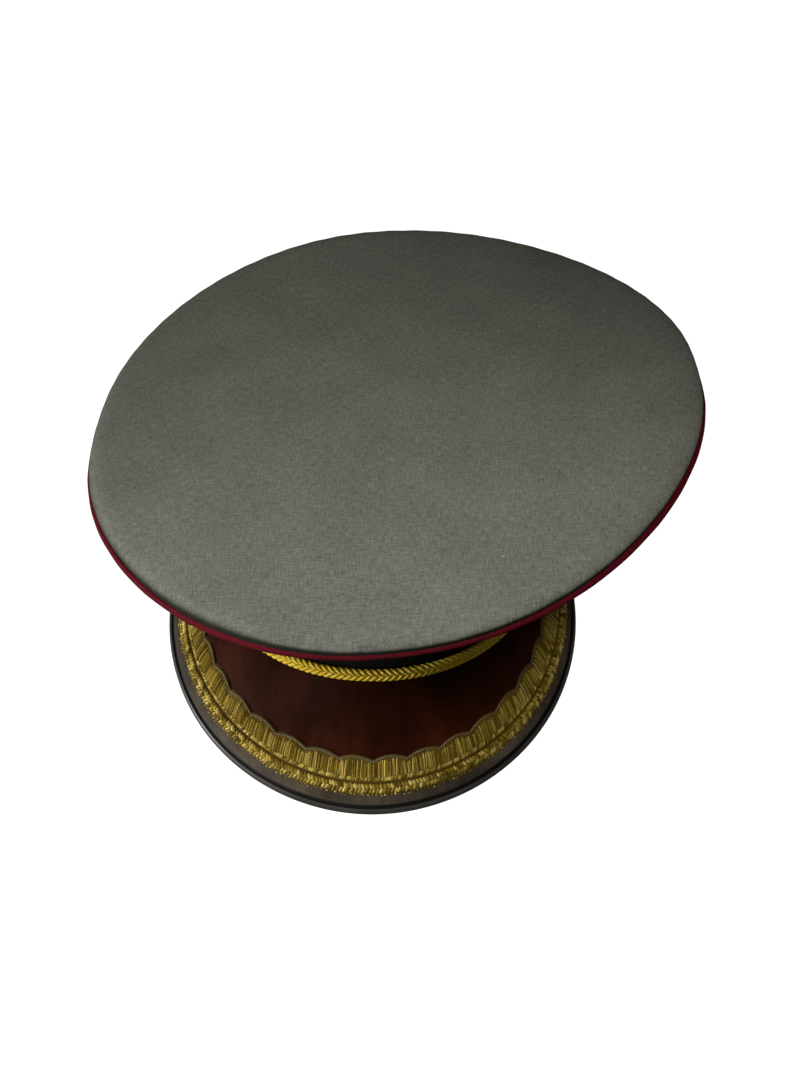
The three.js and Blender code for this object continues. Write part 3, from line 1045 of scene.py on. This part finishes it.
def peak_rim():
    bearing = np.linspace(-PEAK_END_BEARING, PEAK_END_BEARING, RIM_COLUMNS)[:, None]
    section = smooth_section(RIM_SECTION + RIM_SECTION[:1], RIM_STEPS)[:-1]
    radius = peak_radius(bearing) - section[:, 0] * edge_slant(bearing)
    loops = at_bearing(bearing, radius, peak_height(bearing, radius) + section[:, 1])
    mesh = loop_body("peak_edge_rim", loops, False, 1.0, 1.0)
    add_piece(mesh, "peak_binding", "peak_rim", BINDING, GROOVE_SHADE)
    numbers, grid = face_grid(mesh, RIM_COLUMNS, len(section), BINDING_FACE)
    # The groove rows take the painted shade
    grid[:, RIM_GROOVE_ROWS] = GROOVE_SHADE_FACE
    mesh.polygons.foreach_set("material_index", numbers)


# The gold border

def bearings_along(inset, end_bearing):
    """The length of a line along the border, and the bearing at a distance from its start."""
    fine = np.linspace(-end_bearing, end_bearing, BORDER_FINE_STEPS)
    length = run_length(peak_top(fine, np.full_like(fine, inset)))
    return length[-1], lambda place: np.interp(place, length, fine)


def border_padding(columns, end_bearing, start, reach):
    """The padding under the stitches: reach gives its width at a share of its length."""
    length, bearing_at = bearings_along(start, end_bearing)
    place = np.linspace(0, length, columns)
    bearing = bearing_at(place)[:, None]
    share = np.linspace(0, 1, PADDING_ROWS)
    inset = start + reach(place / length)[:, None] * share
    surface = peak_top(bearing, inset)
    normal = peak_normal(bearing, inset)
    thickness = PADDING_EDGE + PADDING_RISE * np.sin(math.pi * share)
    upper = surface + normal * thickness[:, None]
    lower = surface + normal * PADDING_BASE
    return strip_part(np.concatenate([upper, lower[:, ::-1]], axis=1), PADDING_FACE)


def scattered(random, pitch, length, stray):
    """Places along a line at an even pitch, each strayed at random."""
    place = np.arange(pitch, length - pitch, pitch)
    return place + random.uniform(*stray, len(place))


def arched(way, power, depth):
    """An arch over a way from -1 to 1. A higher power makes it squarer."""
    return np.sqrt(np.clip(1 - depth * way ** power, 0, 1))


def thinned(arch, end):
    """A share that goes from one at the top of an arch to less at its ends."""
    return end + (1 - end) * arch


def stitch_row(random, end_bearing, inset, width, slant, pitch):
    """A row of slanted stitches over the padding."""
    laid = ROW_STITCH
    length, bearing_at = bearings_along(inset, end_bearing - ROW_END_MARGIN)
    place = scattered(random, pitch, length, laid["stray"])
    count = len(place)
    step = np.linspace(-0.5, 0.5, laid["steps"])
    lean = slant * random.uniform(*laid["lean"], count)[:, None]
    bearing = bearing_at(place[:, None] + lean * step)
    arch = arched(2 * step, power=2, depth=laid["arch"])
    size = random.uniform(*laid["size"], count)[:, None]
    half_width = laid["half_width"] * pitch * size
    height = laid["height"] * pitch * size
    thickness = thinned(arch, laid["end"])
    lift = laid["lift"] + height * arch
    insets = inset + width * step + 0 * place[:, None]
    tones = random.uniform(*laid["tone"], count)
    return surface_bars(bearing, insets, lift, half_width * thickness, height * thickness, tones)


def edge_knots(random):
    """Loose thread ends along the outer edge of the rope."""
    laid = KNOT_STITCH
    length, bearing_at = bearings_along(KNOT_INSET, ROPE_END_BEARING - ROW_END_MARGIN)
    place = scattered(random, KNOT_PITCH, length, laid["stray"])
    count = len(place)
    step = np.linspace(-0.5, 0.5, laid["steps"])
    size = KNOT_SIZE * random.uniform(*laid["size"], count)[:, None]
    bearing = bearing_at(place[:, None] + laid["length"] * size * step)
    insets = KNOT_INSET + random.uniform(*laid["inset_stray"], count)[:, None] + 0 * step
    arch = size * arched(2 * step, power=2, depth=laid["arch"])
    lift = laid["lift"] + laid["rise"] * arch
    thickness = laid["thickness"] * arch
    tones = random.uniform(*laid["tone"], count)
    return surface_bars(bearing, insets, lift, thickness, thickness, tones)


def rope_reach(share):
    return np.full_like(share, ROPE_END - ROPE_START)


def rope_border():
    random = np.random.default_rng(ROPE_SEED)
    parts = [border_padding(ROPE_COLUMNS, ROPE_END_BEARING, ROPE_START, rope_reach)]
    parts += [stitch_row(random, ROPE_END_BEARING, **row) for row in ROPE_ROWS]
    parts.append(edge_knots(random))
    mesh = stitched_mesh("gold_rope_stitches", parts)
    add_piece(mesh, "gold_thread", "gold_rope_border", GOLD, PADDING)


def scallop_reach(share):
    return SCALLOP_WIDTH + SCALLOP_DEPTH * np.abs(np.sin(math.pi * SCALLOP_COUNT * share))


def outline_cord():
    """A thin couched cord along the scalloped outline."""
    length, bearing_at = bearings_along(SCALLOP_START, SCALLOP_END_BEARING - RIB_END_MARGIN)
    place = np.arange(0, length, OUTLINE_CORD_STEP)[None]
    bearing = bearing_at(place)
    inset = SCALLOP_START + scallop_reach(place / length) - OUTLINE_CORD_INSET
    twist = OUTLINE_CORD_TWIST_DEPTH * np.sin(place * 2 * math.pi / OUTLINE_CORD_TWIST_PITCH)
    size = OUTLINE_CORD_SIZE * (1 + twist)
    lift = np.full_like(place, OUTLINE_CORD_LIFT)
    return surface_bars(bearing, inset, lift, size, size, np.ones(1), OUTLINE_FACE)


def satin_ribs(random):
    """Padded stitches across the border, from its edge row to its scalloped outline."""
    laid = RIB_STITCH
    length, bearing_at = bearings_along(SCALLOP_START, SCALLOP_END_BEARING - RIB_END_MARGIN)
    place = scattered(random, RIB_PITCH, length, laid["stray"])
    count = len(place)
    step = np.linspace(0, 1, laid["steps"])
    reach = scallop_reach(place / length) - random.uniform(*laid["short"], count)
    sway = random.uniform(*laid["sway"], count)[:, None]
    bearing = bearing_at(place[:, None] + sway * step)
    insets = SCALLOP_START + RIB_START + (reach[:, None] - RIB_START) * step
    arch = arched(2 * step - 1, power=4, depth=laid["arch"])
    size = random.uniform(*laid["size"], count)[:, None]
    half_width = laid["half_width"] * RIB_PITCH * size * thinned(arch, laid["side_end"])
    height = laid["height"] * RIB_HEIGHT * size * thinned(arch, laid["height_end"])
    lift = laid["lift"] + laid["rise"] * RIB_HEIGHT * size * arch
    tones = random.uniform(*laid["tone"], count)
    return surface_bars(bearing, insets, lift, half_width, height, tones)


def scallop_border():
    random = np.random.default_rng(SCALLOP_SEED)
    parts = [
        border_padding(SCALLOP_COLUMNS, SCALLOP_END_BEARING, SCALLOP_START, scallop_reach),
        satin_ribs(random),
        stitch_row(random, SCALLOP_END_BEARING, **EDGE_ROW),
        outline_cord(),
    ]
    mesh = stitched_mesh("gold_scallop_stitches", parts)
    add_piece(mesh, "gold_thread", "gold_scallop_border", GOLD, PADDING, PALE_GOLD)


# The chin cord and the buttons

def cord_line(bearing, height):
    """The middle of a cord that lies round the band at a height."""
    return at_bearing(bearing, band_radius(bearing) + CORD_RADIUS + GAP, height)


def chin_cord(node, height, twist):
    """Twisted strands across the front of the band, from one button's shank to the other."""
    end = BUTTON_BEARING - (SHANK_RADIUS + GAP) / band_radius(BUTTON_BEARING)
    fine = np.linspace(-end, end, CORD_FINE_STEPS)
    length = run_length(cord_line(fine, height))
    place = np.linspace(0, length[-1], int(length[-1] / CORD_STEP))
    centre = cord_line(np.interp(place, length, fine), height)
    outward = unit(np.cross(np.gradient(centre, axis=0), UPWARD))
    strand_radius = CORD_RADIUS * CORD_STRAND_SHARE
    phase = 2 * math.pi * np.arange(CORD_STRANDS)[:, None] / CORD_STRANDS
    turn = twist * 2 * math.pi * place / CORD_PITCH + phase
    radial = np.cos(turn)[..., None] * outward + np.sin(turn)[..., None] * UPWARD
    path = centre + (CORD_RADIUS - strand_radius) * radial
    side = unit(np.cross(np.gradient(path, axis=1), radial))
    size = np.full(path.shape[:2], strand_radius)
    tones = np.linspace(*CORD_TONES, CORD_STRANDS)
    mesh = stitched_mesh(node + "_twist", [bars(path, side, radial, size, size, CORD_SIDES, tones)])
    add_piece(mesh, "gold_cord", node, CORD_GOLD)


def side_button(node, side):
    section = smooth_section(BUTTON_SECTION, BUTTON_STEPS)
    bearing = side * BUTTON_BEARING
    across = (math.sin(BUTTON_BEARING) / BAND_HALF_WIDTH) ** (BAND_ROUNDNESS - 1)
    ahead = (math.cos(BUTTON_BEARING) / BAND_HALF_LENGTH) ** (BAND_ROUNDNESS - 1)
    outward = unit(np.array([side * across / BAND_HALF_WIDTH, -ahead / BAND_HALF_LENGTH, 0.0]))
    base = at_bearing(bearing, band_radius(bearing), BUTTON_HEIGHT) + outward * GAP
    turn = full_turn(BUTTON_COLUMNS)[:, None, None]
    spread = np.cos(turn) * np.cross(UPWARD, outward) + np.sin(turn) * UPWARD
    points = base + section[:, :1] * spread + section[:, 1:] * outward
    ends = np.stack([base, base + outward * (section[-1, 1] + BUTTON_DOME_RISE)])
    plan = np.zeros((BUTTON_COLUMNS * len(section) + len(ends), 2))
    mesh = turned_body(node + "_gilt", points, ends, plan)
    add_piece(mesh, "gilt_button", node, GILT)


# Camera, light and floor

def camera_directions():
    """The camera's right, up and backward directions in the cap frame."""
    level = np.array([math.cos(CAMERA_AZIMUTH), math.sin(CAMERA_AZIMUTH), 0.0])
    away = np.array([math.sin(CAMERA_AZIMUTH), -math.cos(CAMERA_AZIMUTH), 0.0])
    back = away * math.cos(CAMERA_ELEVATION) + UPWARD * math.sin(CAMERA_ELEVATION)
    upright = np.cross(back, level)
    right = level * math.cos(CAMERA_ROLL) + upright * math.sin(CAMERA_ROLL)
    up = upright * math.cos(CAMERA_ROLL) - level * math.sin(CAMERA_ROLL)
    return np.array([right, up, back])


def add_camera():
    directions = camera_directions()
    offset = np.array([CAMERA_SHIFT_RIGHT, CAMERA_SHIFT_UP, CAMERA_DISTANCE])
    pose = np.eye(4)
    pose[:3, :3] = (directions @ CAP_AXES).T
    pose[:3, 3] = to_row(CAMERA_FOCUS + offset @ directions)
    data = bpy.data.cameras.new("camera")
    data.sensor_width = SENSOR_WIDTH
    data.lens = FOCAL_LENGTH_PIXELS * SENSOR_WIDTH / IMAGE_LONG_SIDE_PIXELS
    camera = add_object("camera", data)
    camera.matrix_world = Matrix(pose.tolist())
    bpy.context.scene.camera = camera


def add_floor():
    mesh = bpy.data.meshes.new("floor")
    half = FLOOR_HALF_SIZE
    corners = [(-half, -half, 0), (half, -half, 0), (half, half, 0), (-half, half, 0)]
    mesh.from_pydata(corners, [], [(0, 1, 2, 3)])
    floor = add_object("floor", mesh)
    finish = Finish("light_table")
    finish.set(Base_Color=FLOOR_COLOUR, Roughness=0.9, Emission_Strength=FLOOR_GLOW)
    mesh.materials.append(finish.material)
    floor.location.z = -FLOOR_DROP
    floor.visible_diffuse = False
    floor.visible_glossy = False


def add_light(place, size, power, mirrored):
    """A round lamp. One that is not mirrored leaves no highlight on glossy pieces."""
    data = bpy.data.lights.new("light", "AREA")
    data.shape = "DISK"
    data.size = size
    data.energy = power
    data.color = LIGHT_COLOUR
    light = add_object("light", data)
    light.location = place
    light.visible_glossy = mirrored
    aim = Vector(LIGHT_TARGET) - Vector(place)
    light.rotation_euler = aim.to_track_quat("-Z", "Y").to_euler()


def add_world():
    world = bpy.data.worlds.new("studio")
    world.use_nodes = True
    background = world.node_tree.nodes["Background"]
    background.inputs["Color"].default_value = (*WORLD_COLOUR, 1.0)
    background.inputs["Strength"].default_value = WORLD_STRENGTH
    bpy.context.scene.world = world
    bpy.context.scene.view_settings.view_transform = "Standard"


top_cloth()
edge_piping()
for panel_node, panel_middle in SIDE_PANELS.items():
    side_panel(panel_node, panel_middle)
head_band()
peak_sheet()
peak_rim()
rope_border()
scallop_border()
for cord in CORDS:
    chin_cord(**cord)
for button_node, button_side in BUTTONS.items():
    side_button(button_node, button_side)
add_camera()
add_floor()
add_world()
for lamp in LIGHTS:
    add_light(**lamp)
